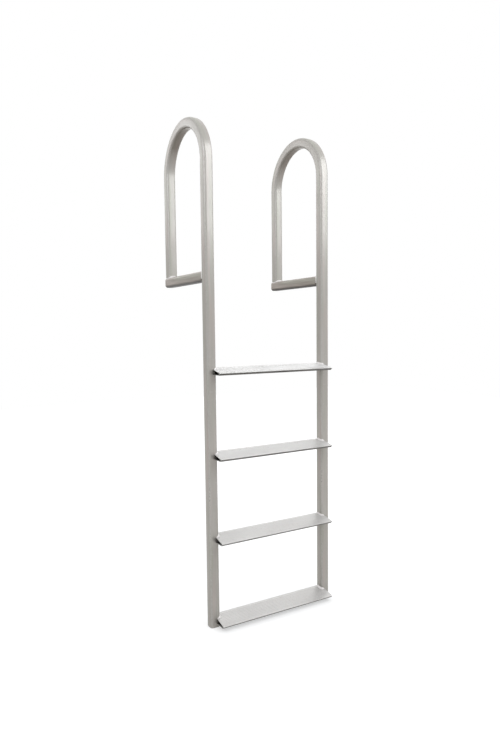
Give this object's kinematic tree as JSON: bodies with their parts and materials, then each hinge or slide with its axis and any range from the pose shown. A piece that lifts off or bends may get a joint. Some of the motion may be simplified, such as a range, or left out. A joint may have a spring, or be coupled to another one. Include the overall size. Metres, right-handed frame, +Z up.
{
  "type": "dock ladder",
  "caption": "Welded aluminium dock ladder with wide sloping steps, hooped hand rails and foot bars that bolt to the dock.",
  "frame": {"origin": "centre of the left foot bar's flat underside, on the dock's surface", "axes": "+X along the steps to the right as seen from the water, +Y towards the dock, +Z up"},
  "size_m": [0.5409, 0.4127, 1.8604],
  "materials": {
    "tube": "satin mill finish",
    "tread": "satin mill finish, ribbed",
    "weld": "as welded"
  },
  "bodies": {
    "root": {"left_rail": "tube", "right_rail": "tube", "left_foot_bar": "tube", "right_foot_bar": "tube", "tread_1": "tread", "tread_2": "tread", "tread_3": "tread", "tread_4": "tread", "tread_1_weld_left": "weld", "tread_1_weld_right": "weld", "tread_2_weld_left": "weld", "tread_2_weld_right": "weld", "tread_3_weld_left": "weld", "tread_3_weld_right": "weld", "tread_4_weld_left": "weld", "tread_4_weld_right": "weld", "left_bar_front_weld": "weld", "left_bar_rear_weld": "weld", "right_bar_front_weld": "weld", "right_bar_rear_weld": "weld"}
  },
  "joints": []
}
